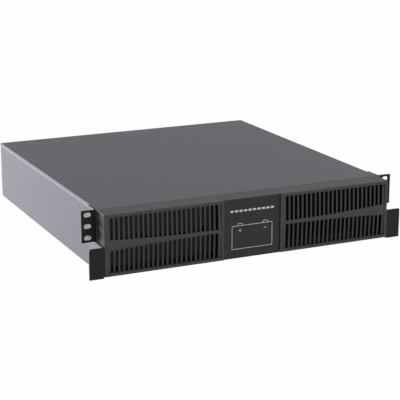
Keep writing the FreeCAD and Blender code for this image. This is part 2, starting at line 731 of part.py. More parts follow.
def rack_bracket():
    y_back = Y_CHASSIS + EAR_PLATE
    upper = folded_sheet(
        [(X_CASE, y_back), (X_CASE, Y_CASE), (X_EAR, Y_CASE)], EAR_SHEET, EAR_BEND, Z_EAR_LOW, Z_EAR_TOP
    )
    upper = rounded(upper, EAR_ROUND / 2, lambda p: same(p.x, X_EAR) and same(p.z, Z_EAR_TOP))
    lower = folded_sheet(
        [(X_CASE, y_back), (X_CASE, Y_FRONT), (X_EAR, Y_FRONT)], EAR_SHEET, EAR_BEND, 0, Z_EAR_GRIP
    )
    lower = rounded(lower, EAR_ROUND, lambda p: same(p.x, X_EAR) and same(p.z, Z_EAR_GRIP))
    y_web = Y_CASE + EAR_SHEET + EAR_BEND
    web = box(X_CASE, X_CASE + EAR_SHEET, y_web, y_back, Z_EAR_GRIP, Z_EAR_LOW)
    bracket = fused([upper, web, lower])
    sinks = [ear_screw(y, z, FIT) for y, z in ear_screw_places()]
    return cut_all(bracket, ear_holes() + sinks)


# Battery trays, drawn for the right side
def battery_tray():
    x0 = X_TRAY0
    x1 = X_TRAY1
    z_cut = Z_TRAY_TOP + OVERCUT
    pan = box(x0, x1, Y_CASE - SHEET, Y_TRAY_END, Z_TRAY, Z_TRAY_TOP)
    room = box(x0 + SHEET, x1 - SHEET, Y_CASE - SHEET, Y_TRAY, Z_BATTERY, z_cut)
    pan = pan.cut(room)
    front = box(TRAY_FRONT_GAP, x1, Y_CASE - SHEET, Y_CASE, Z_TRAY, Z_OPENING1)
    z0 = Z_OPENING0 + TRAY_NOTCH
    ear = box(x1, X_TRAY_EAR, Y_CASE - SHEET, Y_CASE, z0, Z_OPENING1 - TRAY_NOTCH)
    tray = fused([pan, front, ear])
    tools = [box(x0 - OVERCUT, x1 + OVERCUT, y, y + BAR_WIDTH, Z_BAR, z_cut) for y in bar_stations()]
    half = AISLE / 2
    y0 = Y_TRAY - OVERCUT
    y1 = Y_TRAY_END + OVERCUT
    tools.append(box(X_AISLE - half, X_AISLE + half, y0, y1, Z_LEAD - half, z_cut))
    tools += [screw_hole(seat, Y_AXIS, 2 * SHEET) for seat in tray_seats() if seat.x > 0]
    return cut_all(tray, tools)


def bar_stations():
    quarter = TRAY_INNER / 4
    return [Y_CASE + quarter * k - BAR_WIDTH / 2 for k in (1, 3)]


def tray_handle():
    middle = (X_TRAY0 + X_TRAY1) / 2
    half = HANDLE_WIDTH / 2
    y_wall = Y_CASE - SHEET
    y_grip = y_wall - HANDLE_REACH
    points = [
        vec(middle - half, y_wall, Z_MIDDLE),
        vec(middle - half, y_grip, Z_MIDDLE),
        vec(middle + half, y_grip, Z_MIDDLE),
        vec(middle + half, y_wall, Z_MIDDLE),
    ]
    return cable(points, HANDLE_ROD / 2)


def battery_places():
    """Start point and facing of the inner and outer batteries of the right tray."""
    y_inner = Y_CASE + TRAY_END_CLEAR
    step = BATTERY_LENGTH + ROW_GAP
    places = [("inner", X_INNER0, y_inner + i * step) for i in range(2)]
    places += [("outer", X_OUTER0, y_inner + STAGGER + i * step) for i in range(2)]
    return places


def battery(row, x, y):
    """Sealed battery lying down, its lid on the side that faces the aisle."""
    x1 = x + BATTERY_HEIGHT
    y1 = y + BATTERY_LENGTH
    body = box(x, x1, y, y1, Z_BATTERY, Z_BATTERY_TOP)
    body = body.makeFillet(BATTERY_ROUND, body.Edges)
    g = LID_GROOVE
    seam = x1 - LID_HEIGHT if row == "inner" else x + LID_HEIGHT
    low = Z_BATTERY - OVERCUT
    high = Z_BATTERY_TOP + OVERCUT
    ring = box(seam - g, seam + g, y - OVERCUT, y1 + OVERCUT, low, high)
    core = box(seam - g, seam + g, y + g, y1 - g, Z_BATTERY + g, Z_BATTERY_TOP - g)
    body = body.cut(ring.cut(core))
    face = x1 if row == "inner" else x
    margin = 4 * TAB_END
    z0 = Z_BATTERY + TAB_DROP
    vent = box(face - g, face + g, y + margin, y1 - margin, z0, Z_TAB - 2 * RECEPTACLE_HEIGHT)
    return body.cut(vent)


def tab_points(row, x, y):
    """Root of the plus tab and of the minus tab of one battery."""
    near = y + TAB_END
    far = y + BATTERY_LENGTH - TAB_END
    if row == "inner":
        return vec(x + BATTERY_HEIGHT, near, Z_TAB), vec(x + BATTERY_HEIGHT, far, Z_TAB)
    return vec(x, far, Z_TAB), vec(x, near, Z_TAB)


def tab_box(row, root, gap=0.0):
    x0 = root.x if row == "inner" else root.x - TAB_LENGTH
    w = TAB_WIDTH / 2 + gap
    t = TAB_THICKNESS / 2 + gap
    return box(x0 - gap, x0 + TAB_LENGTH + gap, root.y - w, root.y + w, root.z - t, root.z + t)


def tabs(which):
    plus = [tab_box(row, tab_points(row, x, y)[which]) for row, x, y in battery_places()]
    return both_sides(plus)


def receptacle(row, root):
    x0 = root.x + CABLE_CLEAR if row == "inner" else root.x - RECEPTACLE_REACH
    x1 = root.x + RECEPTACLE_REACH if row == "inner" else root.x - CABLE_CLEAR
    w = RECEPTACLE_WIDTH / 2
    h = RECEPTACLE_HEIGHT / 2
    return box(x0, x1, root.y - w, root.y + w, root.z - h, root.z + h).cut(tab_box(row, root, FIT))


def lead_x(row):
    return X_LEAD_PLUS if row == "inner" else X_LEAD_MINUS


def series_links():
    inner_1, inner_2, outer_1, outer_2 = battery_places()
    w = RECEPTACLE_WIDTH / 2
    links = []
    for near, far in ((outer_1, outer_2), (inner_1, inner_2)):
        row = near[0]
        a = tab_points(*near)[0 if row == "outer" else 1]
        b = tab_points(*far)[1 if row == "outer" else 0]
        wire = rod(vec(lead_x(row), a.y + w, Z_TAB), Y_AXIS, CABLE / 2, b.y - a.y - 2 * w)
        links.append(fused([receptacle(row, a), wire, receptacle(row, b)]))
    a = tab_points(*inner_2)[1]
    b = tab_points(*outer_2)[0]
    start = vec(lead_x("inner"), a.y, Z_TAB)
    end = vec(lead_x("outer"), b.y, Z_TAB)
    wire = rod(start, end - start, CABLE / 2, (end - start).Length)
    bridge = fused([receptacle("inner", a), wire, receptacle("outer", b)])
    links.append(bridge.cut(tab_box("inner", a, FIT)).cut(tab_box("outer", b, FIT)))
    return both_sides(links)


def tray_leads(row):
    place = [p for p in battery_places() if p[0] == row][0]
    root = tab_points(*place)[0 if row == "inner" else 1]
    start = root.y + RECEPTACLE_WIDTH / 2
    run = BATTERY_LENGTH / 4
    x = lead_x(row)
    points = [
        vec(x, start, Z_TAB),
        vec(x, start + run, Z_TAB),
        vec(x, start + 2 * run, Z_LEAD),
        vec(x, Y_TRAY_END, Z_LEAD),
    ]
    return both_sides([fused([receptacle(row, root), cable(points)])])


def hold_down_bars():
    bars = [box(X_TRAY0, X_TRAY1, y, y + BAR_WIDTH, Z_BAR, Z_TRAY_TOP) for y in bar_stations()]
    return both_sides(bars)


def foam_strips():
    x0 = X_TRAY0 + SHEET
    x1 = X_TRAY1 - SHEET
    strips = [box(x0, x1, y, y + BAR_WIDTH, Z_BATTERY_TOP, Z_BAR) for y in bar_stations()]
    return both_sides(strips)


# Docking plugs behind the trays
def tray_plug():
    w = PLUG_WIDTH / 2
    h = PLUG_HEIGHT / 2
    block = box(X_AISLE - w, X_AISLE + w, Y_TRAY_END, Y_PLUG_END, Z_LEAD - h, Z_LEAD + h)
    return rounded(block, EDGE_ROUND, lambda p: same(p.y, Y_PLUG_END))


def tray_socket():
    w = PLUG_WIDTH / 2 + DOCK_CLEAR
    h = PLUG_HEIGHT / 2 + DOCK_CLEAR
    wall = DOCK_WALL
    y0 = Y_TRAY_END + DOCK_GAP
    block = box(X_AISLE - w - wall, X_AISLE + w + wall, y0, Y_DOCK, Z_LEAD - h - wall, Z_LEAD + h + wall)
    return block.cut(box(X_AISLE - w, X_AISLE + w, y0 - OVERCUT, Y_PLUG_END, Z_LEAD - h, Z_LEAD + h))


def docking_bracket():
    reach = X_AISLE + PLUG_WIDTH
    top = Z_LEAD + PLUG_HEIGHT / 2 + DOCK_WALL + DOCK_CLEAR
    wall = box(-reach, reach, Y_DOCK, Y_DOCK_END, SHEET, top)
    foot = box(-reach, reach, Y_DOCK - DOCK_DEPTH / 2, Y_DOCK_END, SHEET, 2 * SHEET)
    half = AISLE / 2 + CABLE / 2
    y0 = Y_DOCK - OVERCUT
    y1 = Y_DOCK_END + OVERCUT
    window = box(X_AISLE - half, X_AISLE + half, y0, y1, Z_LEAD - CABLE, Z_LEAD + CABLE)
    return cut_all(fused([wall, foot]), both_sides([window]))


# Rear bay
def fuse_holders():
    x0 = X_FUSE_IN - FUSE_CLIP
    x1 = X_FUSE_OUT + FUSE_CLIP
    y = FUSE_CLIP_DEPTH / 2
    return both_sides([box(x0, x1, Y_FUSE - y, Y_FUSE + y, SHEET, SHEET + FUSE_BASE)])


def fuse_clips():
    clips = []
    for x in (X_FUSE_IN, X_FUSE_OUT):
        half = FUSE_CLIP / 2
        y = FUSE_CLIP_DEPTH / 2 - FUSE_CLIP_INSET
        block = box(x - half, x + half, Y_FUSE - y, Y_FUSE + y, SHEET + FUSE_BASE, Z_FUSE_TOP)
        start = vec(x - half - OVERCUT, Y_FUSE, Z_FUSE)
        clips.append(block.cut(rod(start, X_AXIS, FUSE_RADIUS + FIT, FUSE_CLIP + 2 * OVERCUT)))
    return both_sides(clips)


def fuse_links():
    reach = FUSE_CLIP / 2
    x0 = X_FUSE_IN - reach
    return both_sides([rod(vec(x0, Y_FUSE, Z_FUSE), X_AXIS, FUSE_RADIUS, FUSE_SPAN + 2 * reach)])


def plus_pole_x():
    return BREAKER_X + POLE_PITCH / 2


def minus_pole_x():
    return BREAKER_X - POLE_PITCH / 2


def positive_busbar():
    x0 = min(plus_pole_x() - BUSBAR_WIDTH / 2, -X_FUSE_IN - FUSE_CLIP / 2)
    y = BUSBAR_WIDTH / 2
    return box(x0, X_FUSE_IN + FUSE_CLIP / 2, Y_FUSE - y, Y_FUSE + y, Z_FUSE_TOP, Z_FUSE_TOP + BUSBAR)


def negative_busbar():
    reach = X_LEAD_MINUS + BUSBAR_WIDTH / 2
    return box(-reach, reach, Y_NEGATIVE, Y_NEGATIVE + BUSBAR, Z_BUSBAR, Z_BUSBAR + BUSBAR_WIDTH)


def fuse_feed_cables():
    x = X_FUSE_OUT
    return both_sides([cable([vec(x, Y_DOCK, Z_LEAD), vec(x, Y_FUSE, Z_LEAD), vec(x, Y_FUSE, Z_FUSE_TOP)])])


def return_cables():
    return both_sides([rod(vec(X_LEAD_MINUS, Y_DOCK, Z_LEAD), Y_AXIS, CABLE / 2, Y_NEGATIVE - Y_DOCK)])


def breaker_feed_cables():
    x = plus_pole_x()
    z = Z_LINE
    riser = cable([vec(x, Y_FUSE, Z_FUSE_TOP + BUSBAR), vec(x, Y_FUSE, z), vec(x, Y_STUD, z)])
    x = minus_pole_x()
    y0 = Y_NEGATIVE + BUSBAR
    third = (Y_STUD - y0) / 3
    high = Z_LEAD + CABLE / 2
    drop = cable([vec(x, y0, high), vec(x, y0 + third, high), vec(x, Y_STUD - third, z), vec(x, Y_STUD, z)])
    return [riser, drop]


def outlet_feed_cables():
    first = min(X_OUTLETS)
    z = Z_LOAD
    gap = 2 * CABLE
    feeds = []
    for pole, sign, ahead in ((plus_pole_x(), -1, 1), (minus_pole_x(), 1, 2)):
        x_end = first + sign * CONTACT_PITCH / 2
        z_end = Z_MIDDLE - sign * (CONTACT_THICKNESS + CONTACT_TAIL / 2)
        y_run = Y_STUD - ahead * gap
        y_end = Y_TAIL - CONTACT_THICKNESS - BUSBAR
        points = [
            vec(pole, Y_STUD, z),
            vec(pole, y_run, z),
            vec(x_end, y_run, z_end),
            vec(x_end, y_end, z_end),
        ]
        feeds.append(cable(points))
    return feeds


def breaker_body():
    w = BREAKER_WIDTH / 2
    h = BREAKER_HEIGHT / 2
    body = box(BREAKER_X - w, BREAKER_X + w, Y_BREAKER, Y_PANEL_IN, Z_MIDDLE - h, Z_MIDDLE + h)
    w = BOSS_WIDTH / 2
    h = BOSS_HEIGHT / 2
    y_face = Y_PANEL + BOSS_PROUD
    boss = box(BREAKER_X - w, BREAKER_X + w, Y_PANEL_IN - OVERCUT, y_face, Z_MIDDLE - h, Z_MIDDLE + h)
    boss = rounded(boss, EDGE_ROUND, lambda p: same(p.y, y_face))
    body = fused([body, boss])
    w = LEVER_WIDTH / 2 + LEVER_CLEAR
    h = BOSS_HEIGHT / 2 - BOSS_WALL
    y_pivot = Y_PANEL - PIVOT_DEPTH
    y_floor = y_pivot - LEVER_HUB - HUB_CLEAR
    well = box(BREAKER_X - w, BREAKER_X + w, y_floor, y_face + OVERCUT, Z_MIDDLE - h, Z_MIDDLE + h)
    reach = LEVER_WIDTH / 2 + TRUNNION_LENGTH + LEVER_CLEAR
    bore = rod(vec(BREAKER_X - reach, y_pivot, Z_MIDDLE), X_AXIS, TRUNNION_RADIUS + TRUNNION_CLEAR, 2 * reach)
    return cut_all(body, [well, bore])


def breaker_lever():
    """Paddle on two trunnions, at rest tilted down to its off stop."""
    y = Y_PANEL - PIVOT_DEPTH
    half = LEVER_WIDTH / 2
    hub = rod(vec(BREAKER_X - half, y, Z_MIDDLE), X_AXIS, LEVER_HUB, LEVER_WIDTH)
    t = LEVER_THICKNESS / 2
    tip = y + LEVER_LENGTH
    paddle = box(BREAKER_X - half, BREAKER_X + half, y, tip, Z_MIDDLE - t, Z_MIDDLE + t)
    paddle = rounded(paddle, t * 0.8, lambda p: same(p.y, tip) and same(abs(p.x - BREAKER_X), half))
    reach = half + TRUNNION_LENGTH
    pin = rod(vec(BREAKER_X - reach, y, Z_MIDDLE), X_AXIS, TRUNNION_RADIUS, 2 * reach)
    lever = fused([hub, paddle, pin])
    lever.rotate(vec(BREAKER_X, y, Z_MIDDLE), X_AXIS, -LEVER_TILT)
    return lever


def breaker_studs():
    return [
        rod(vec(x, Y_STUD, z), Y_AXIS, STUD_RADIUS, STUD_LENGTH)
        for x in (minus_pole_x(), plus_pole_x())
        for z in (Z_LOAD, Z_LINE)
    ]


def outlet_end():
    return Y_REAR + OUTLET_PROJECTION


def outlet_socket(x):
    w = OUTLET_WIDTH / 2
    h = OUTLET_HEIGHT / 2
    y1 = outlet_end()
    body = box(x - w, x + w, Y_TAIL, y1, Z_MIDDLE - h, Z_MIDDLE + h)
    body = rounded(body, EDGE_ROUND, lambda p: same(p.y, y1))
    reach = w + OUTLET_FLANGE
    rise = h + OUTLET_RIM
    y_flange = Y_PANEL + OUTLET_FLANGE_SHEET
    flange = box(x - reach, x + reach, Y_PANEL, y_flange, Z_MIDDLE - rise, Z_MIDDLE + rise)
    socket = fused([body, flange])
    room = h - OUTLET_WALL
    half = (CONTACT_PITCH - OUTLET_WALL) / 2 - CAVITY_SIDE
    c = CONTACT_WIDTH / 2 + FIT
    y_floor = y1 - OUTLET_CAVITY
    z0 = contact_level()
    z1 = z0 + CONTACT_THICKNESS + FIT
    tools = []
    for side in (-1, 1):
        middle = x + side * CONTACT_PITCH / 2
        x0 = middle - half
        x1 = middle + half
        tools.append(box(x0, x1, y_floor, y1 + OVERCUT, Z_MIDDLE - room, Z_MIDDLE + room))
        tools.append(box(middle - c, middle + c, Y_TAIL - OVERCUT, y_floor + OVERCUT, z0, z1))
    tools += [screw_hole(seat, Y_AXIS * -1, 4 * SHEET) for seat in outlet_seats()]
    return cut_all(socket, tools)


def contact_level():
    return Z_MIDDLE - OUTLET_HEIGHT / 2 + OUTLET_WALL


def outlet_contacts():
    contacts = []
    y1 = outlet_end()
    for x in X_OUTLETS:
        for sign in (-1, 1):
            middle = x + sign * CONTACT_PITCH / 2
            half = CONTACT_WIDTH / 2
            z0 = contact_level()
            z1 = z0 + CONTACT_THICKNESS
            y0 = Y_TAIL - CONTACT_THICKNESS
            blade = box(middle - half, middle + half, y0, y1 - CONTACT_SETBACK, z0, z1)
            tail0 = min(z0, Z_MIDDLE - sign * (CONTACT_THICKNESS + CONTACT_TAIL))
            tail1 = max(z1, Z_MIDDLE - sign * (CONTACT_THICKNESS + CONTACT_TAIL))
            tail = box(middle - half, middle + half, y0, Y_TAIL, tail0, tail1)
            contacts.append(fused([blade, tail]))
    return contacts


def outlet_links():
    links = []
    half = CONTACT_WIDTH / 2
    y1 = Y_TAIL - CONTACT_THICKNESS
    for sign in (-1, 1):
        end = Z_MIDDLE - sign * (CONTACT_THICKNESS + CONTACT_TAIL)
        root = Z_MIDDLE - sign * CONTACT_THICKNESS
        x0 = min(X_OUTLETS) + sign * CONTACT_PITCH / 2 - half
        x1 = max(X_OUTLETS) + sign * CONTACT_PITCH / 2 + half
        links.append(box(x0, x1, y1 - BUSBAR, y1, min(root, end), max(root, end)))
    return links


def ground_terminal():
    """Stud clamped through the panel between a hexagon nut with a washer and a round inner nut."""
    y_nut = Y_PANEL + GROUND_WASHER_SHEET
    y_inner = Y_PANEL_IN - GROUND_NUT_HEIGHT
    y_end = y_inner - GROUND_GAP
    stud = rod(vec(X_GROUND, y_end, Z_GROUND), Y_AXIS, GROUND_RADIUS, Y_PANEL + GROUND_REACH - y_end)
    washer = rod(vec(X_GROUND, Y_PANEL, Z_GROUND), Y_AXIS, GROUND_WASHER, GROUND_WASHER_SHEET)
    corners = []
    for k in range(7):
        turn = k * math.pi / 3
        corners.append(vec(GROUND_NUT * math.cos(turn), 0, GROUND_NUT * math.sin(turn)))
    nut = Part.Face(Part.makePolygon(corners)).extrude(Y_AXIS * GROUND_NUT_HEIGHT)
    nut.translate(vec(X_GROUND, y_nut, Z_GROUND))
    inner = rod(vec(X_GROUND, y_inner, Z_GROUND), Y_AXIS, GROUND_NUT, GROUND_NUT_HEIGHT)
    return fused([stud, washer, nut, inner])


def screws(seats, inward):
    return [pan_screw(seat, inward) for seat in seats]


def main():
    os.makedirs("parts", exist_ok=True)
    rearward = Y_AXIS
    forward = Y_AXIS * -1
    bracket = rack_bracket()
    grille = bezel_grille()
    tray = battery_tray()
    handle = tray_handle()
    plug = tray_plug()
    dock = tray_socket()
    nodes = {
        "chassis": [chassis()],
        "top_cover": [top_cover()],
        "front_plate": [front_plate()],
        "rear_panel": [rear_panel()],
        "centre_divider": [centre_divider()],
        "tray_rails": tray_rails(),
        "bezel_grille_right": [grille],
        "bezel_grille_left": [mirrored(grille)],
        "bezel_centre_panel": [bezel_centre_panel()],
        "rack_bracket_right": [bracket],
        "rack_bracket_left": [mirrored(bracket)],
        "rack_bracket_screws": both_sides([ear_screw(y, z) for y, z in ear_screw_places()]),
        "battery_tray_right": [tray],
        "battery_tray_left": [mirrored(tray)],
        "tray_handle_right": [handle],
        "tray_handle_left": [mirrored(handle)],
        "battery_tabs_positive": tabs(0),
        "battery_tabs_negative": tabs(1),
        "series_links": series_links(),
        "tray_leads_positive": tray_leads("inner"),
        "tray_leads_negative": tray_leads("outer"),
        "hold_down_bars": hold_down_bars(),
        "foam_strips": foam_strips(),
        "tray_plug_right": [plug],
        "tray_plug_left": [mirrored(plug)],
        "tray_socket_right": [dock],
        "tray_socket_left": [mirrored(dock)],
        "docking_bracket": [docking_bracket()],
        "fuse_holders": fuse_holders(),
        "fuse_clips": fuse_clips(),
        "fuse_links": fuse_links(),
        "positive_busbar": [positive_busbar()],
        "negative_busbar": [negative_busbar()],
        "fuse_feed_cables": fuse_feed_cables(),
        "return_cables": return_cables(),
        "breaker_feed_cables": breaker_feed_cables(),
        "outlet_feed_cables": outlet_feed_cables(),
        "breaker_body": [breaker_body()],
        "breaker_lever": [breaker_lever()],
        "breaker_studs": breaker_studs(),
        "outlet_socket_1": [outlet_socket(X_OUTLETS[0])],
        "outlet_socket_2": [outlet_socket(X_OUTLETS[1])],
        "outlet_contacts": outlet_contacts(),
        "outlet_links": outlet_links(),
        "ground_terminal": [ground_terminal()],
        "front_plate_screws": screws(front_plate_seats(), rearward),
        "tray_screws": screws(tray_seats(), rearward),
        "rear_panel_screws": screws(rear_panel_seats(), forward),
        "cover_screws": screws(cover_seats(), forward),
        "outlet_screws": screws(outlet_seats(), forward),
    }
    for number, (row, x, y) in enumerate(battery_places(), 1):
        block = battery(row, x, y)
        nodes["battery_right_%d" % number] = [block]
        nodes["battery_left_%d" % number] = [mirrored(block)]
    for name, solids in nodes.items():
        shape = solids[0] if len(solids) == 1 else Part.makeCompound(solids)
        shape.exportStep(os.path.join("parts", name + ".step"))


main()
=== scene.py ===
"""Looks of a two-unit rack battery pack: its finishes, the printed marks, soft light and the camera.

Metres, in the part's own frame: the front faces -Y, +X is the viewer's right, +Z is up.
"""

import json
import math

import bmesh
import bpy
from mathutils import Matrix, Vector


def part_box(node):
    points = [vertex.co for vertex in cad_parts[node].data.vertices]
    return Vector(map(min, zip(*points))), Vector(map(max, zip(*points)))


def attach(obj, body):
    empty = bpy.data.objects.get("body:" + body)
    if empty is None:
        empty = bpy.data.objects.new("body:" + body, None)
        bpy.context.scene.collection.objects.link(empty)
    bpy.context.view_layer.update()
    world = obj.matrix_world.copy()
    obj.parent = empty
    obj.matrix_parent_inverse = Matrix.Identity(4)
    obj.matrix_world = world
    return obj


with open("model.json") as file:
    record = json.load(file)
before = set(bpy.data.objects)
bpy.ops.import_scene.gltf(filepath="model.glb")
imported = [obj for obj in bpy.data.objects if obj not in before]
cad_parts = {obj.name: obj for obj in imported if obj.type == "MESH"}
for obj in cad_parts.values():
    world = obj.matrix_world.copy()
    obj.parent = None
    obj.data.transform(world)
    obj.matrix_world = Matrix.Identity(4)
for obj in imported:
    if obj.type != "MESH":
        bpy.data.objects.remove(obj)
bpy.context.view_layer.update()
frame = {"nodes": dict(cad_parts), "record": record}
MM = 0.001


def grey(level):
    return (level, level, level)


# Camera, fitted to the rack holes, the ears and the case edges
IMAGE_WIDTH = 400
SENSOR_WIDTH = 36.0
FOCAL_PIXELS = 1298.2
CAMERA_PLACE = (-0.79644, -1.77656, 0.55241)
CAMERA_AZIMUTH = 0.4367
CAMERA_ELEVATION = 0.26554

# Stage: strength of the world's fill, the floor's share of plain white, its own colour and its place
WORLD_FILL = 0.10
WHITE_SHARE = 0.985
WHITE = (1, 1, 1, 1)
FLOOR_COLOUR = (0.85, 0.85, 0.85, 1)
FLOOR_HALF = 8.0
FLOOR_DROP = 0.2 * MM

# Main colours of the outside
CASE_GREY = (0.194, 0.189, 0.217)
# The bracket's near-black is painted shade on its faces that don't look along X
BRACKET_PAINTED_SHADE = grey(0.009)
BEZEL_BLACK = grey(0.030)
PANEL_BLACK = grey(0.006)

# Finishes: the middle part of a noise, and the slopes over which neighbouring colours fade
NOISE_SPAN = (0.3, 0.7)
# Slopes over which the painted highlight on the folds fades in and out
HIGHLIGHT_FADE_IN = 0.10
HIGHLIGHT_FADE_OUT = 0.06
# Slopes over which the bracket's painted shade passes into its side colour
SIDE_SHADE_FADE = (0.6, 0.8)
FRONT_FADE = (0.7, 0.9)

# Smoother edges of the bezel: the slopes over which they begin, and their share of the roughness
EDGE_FADE = (0.15, 0.30)
EDGE_SHARE = 0.4

# Metal: stretch of the rolling streaks, the stud's thread, and one band of the wave texture at scale 1
ROLLED_X = (0.08, 1.0, 1.0)
ROLLED_Y = (1.0, 0.08, 1.0)
THREAD_PITCH = 0.8 * MM
WAVE_BAND = 0.314

# Printed marks on the centre panel, placed from the panel's middle
INK_THICKNESS = 0.04 * MM
LINE = 0.7 * MM
BATTERY_HALF = 31.5 * MM
BATTERY_LOW = -29.6 * MM
BATTERY_HIGH = 4.4 * MM
POST_PLACES = (-18.7 * MM, 20.4 * MM)
POST_HALF = 3.6 * MM
POST_RISE = 2.9 * MM
POST_ROUND = 1.3 * MM
POST_ROUND_STEPS = 4
SIGN_LEVEL = -2.9 * MM
SIGN_HALF = 2.6 * MM
STRIP_HALF = 33.8 * MM
STRIP_LEVEL = 25.1 * MM
STRIP_HEIGHT = 2.8 * MM
STRIP_COUNT = 10
STRIP_GAP = 2.0 * MM


# Node helpers
class Finish:
    """A node material with one Principled shader and helpers for procedural detail."""

    def __init__(self, name):
        self.material = bpy.data.materials.new(name)
        self.material.use_nodes = True
        self.tree = self.material.node_tree
        self.tree.nodes.clear()
        output = self.tree.nodes.new("ShaderNodeOutputMaterial")
        self.shader = self.tree.nodes.new("ShaderNodeBsdfPrincipled")
        self.link(self.shader.outputs["BSDF"], output.inputs["Surface"])
        coordinates = self.tree.nodes.new("ShaderNodeTexCoord")
        self.place = coordinates.outputs["Object"]
        self.direction = coordinates.outputs["Normal"]

    def link(self, source, target):
        self.tree.links.new(source, target)

    def set(self, **values):
        for name, value in values.items():
            self.shader.inputs[name.replace("_", " ")].default_value = value

    def noise(self, size, detail=2.0, stretch=(1.0, 1.0, 1.0)):
        """Noise whose grains are about size metres across."""
        mapping = self.tree.nodes.new("ShaderNodeMapping")
        mapping.inputs["Scale"].default_value = stretch
        self.link(self.place, mapping.inputs["Vector"])
        node = self.tree.nodes.new("ShaderNodeTexNoise")
        node.inputs["Scale"].default_value = 1.0 / size
        node.inputs["Detail"].default_value = detail
        self.link(mapping.outputs["Vector"], node.inputs["Vector"])
        return node.outputs["Fac"]

    def cells(self, size):
        node = self.tree.nodes.new("ShaderNodeTexVoronoi")
        node.inputs["Scale"].default_value = 1.0 / size
        self.link(self.place, node.inputs["Vector"])
        return node.outputs["Distance"]

    def rings(self, axis, pitch):
        """Bands across one axis, such as a screw thread."""
        node = self.tree.nodes.new("ShaderNodeTexWave")
        node.bands_direction = axis
        node.inputs["Scale"].default_value = WAVE_BAND / pitch
        self.link(self.place, node.inputs["Vector"])
        return node.outputs["Fac"]

    def ramp(self, factor, stops):
        """Colours along a factor, from stops of (position, colour)."""
        node = self.tree.nodes.new("ShaderNodeValToRGB")
        marks = node.color_ramp.elements
        marks[0].position = stops[0][0]
        marks[1].position = stops[-1][0]
        for position, _ in stops[1:-1]:
            marks.new(position)
        for mark, (_, colour) in zip(marks, stops):
            mark.color = (*colour, 1.0)
        self.link(factor, node.inputs["Fac"])
        return node.outputs["Color"]

    def fade(self, factor, span, first, second):
        """One colour that passes into another over a span of the factor."""
        return self.ramp(factor, ((span[0], first), (span[1], second)))

    def mottle(self, factor, colour, spread):
        """Base colour that wanders by spread to either side of colour."""
        dark, light = [[c * share for c in colour] for share in (1 - spread, 1 + spread)]
        self.base(self.fade(factor, NOISE_SPAN, dark, light))

    def base(self, colour):
        self.link(colour, self.shader.inputs["Base Color"])

    def facing(self, axis):
        """How far a face looks along one axis of the part: 1 along it, -1 against it."""
        split = self.tree.nodes.new("ShaderNodeSeparateXYZ")
        self.link(self.direction, split.inputs["Vector"])
        return split.outputs[axis]

    def turned(self, axis):
        """How far a face looks along one axis or against it."""
        node = self.tree.nodes.new("ShaderNodeMath")
        node.operation = "ABSOLUTE"
        self.link(self.facing(axis), node.inputs[0])
        return node.outputs["Value"]

    def product(self, first, second):
        node = self.tree.nodes.new("ShaderNodeMath")
        node.operation = "MULTIPLY"
        self.link(first, node.inputs[0])
        self.link(second, node.inputs[1])
        return node.outputs["Value"]

    def roughness(self, factor, rough, share=None):
        """Roughness that wanders between the two values of rough, times a share where one is given."""
        node = self.tree.nodes.new("ShaderNodeMapRange")
        for name, value in zip(("From Min", "From Max", "To Min", "To Max"), NOISE_SPAN + rough):
            node.inputs[name].default_value = value
        self.link(factor, node.inputs["Value"])
        result = node.outputs["Result"]
        if share is not None:
            result = self.product(result, share)
        self.link(result, self.shader.inputs["Roughness"])

    def bump(self, factor, depth, strength):
        node = self.tree.nodes.new("ShaderNodeBump")
        node.inputs["Strength"].default_value = strength
        node.inputs["Distance"].default_value = depth
        self.link(factor, node.inputs["Height"])
        self.link(node.outputs["Normal"], self.shader.inputs["Normal"])

    def orange_peel(self, rough, specular):
        """Gloss and fine waves of powder paint."""
        self.roughness(self.noise(3 * MM), rough)
        self.bump(self.noise(0.9 * MM), depth=0.05 * MM, strength=0.35)
        self.set(Specular_IOR_Level=specular)

    def eroded_grain(self, rough, specular, share=None):
        """Gloss and grain of a spark-eroded mould."""
        self.roughness(self.noise(1.6 * MM), rough, share)
        self.bump(self.noise(0.45 * MM, detail=3.0), depth=0.05 * MM, strength=0.4)
        self.set(Specular_IOR_Level=specular)


# Finishes, one function for each kind of surface
def painted(name, colour, rough, specular):
    """Powder paint: a fine orange peel with cloudy gloss."""
    finish = Finish(name)
    finish.mottle(finish.noise(14 * MM, detail=3.0), colour, spread=0.035)
    finish.orange_peel(rough, specular)
    return finish.material


def painted_fold_highlights(name, colour, rough, specular, slopes, highlight_gain):
    """Powder paint whose upper folds, between two slopes, are paler as a painted highlight."""
    finish = Finish(name)
    pale = [c * highlight_gain for c in colour]
    start, end = slopes
    stops = ((start - HIGHLIGHT_FADE_IN, colour), (start, pale), (end, pale), (end + HIGHLIGHT_FADE_OUT, colour))
    finish.base(finish.ramp(finish.facing("Z"), stops))
    finish.orange_peel(rough, specular)
    return finish.material


def painted_shade_except_sides(name, colour, side_colour, rough, specular):
    """Powder paint whose faces along X have side_colour, while all other faces take colour as painted
    shade.
    """
    finish = Finish(name)
    finish.base(finish.fade(finish.turned("X"), SIDE_SHADE_FADE, colour, side_colour))
    finish.orange_peel(rough, specular)
    return finish.material


def moulded(name, colour, rough, specular):
    """Moulded plastic with a spark-eroded grain."""
    finish = Finish(name)
    finish.mottle(finish.noise(9 * MM, detail=3.0), colour, spread=0.05)
    finish.eroded_grain(rough, specular)
    return finish.material


def moulded_gloss(name, colour, rough, specular):
    """Moulded plastic with grained faces, whose rounded edges between side and top are smoother."""
    finish = Finish(name)
    finish.mottle(finish.noise(9 * MM, detail=3.0), colour, spread=0.05)
    edge = finish.product(finish.turned("X"), finish.turned("Z"))
    share = finish.fade(edge, EDGE_FADE, grey(1.0), grey(EDGE_SHARE))
    finish.eroded_grain(rough, specular, share)
    return finish.material


def moulded_front(name, colour, front_colour, rough, specular):
    """Moulded plastic whose front carries a darker film."""
    finish = Finish(name)
    finish.base(finish.fade(finish.turned("Y"), FRONT_FADE, colour, front_colour))
    finish.eroded_grain(rough, specular)
    return finish.material


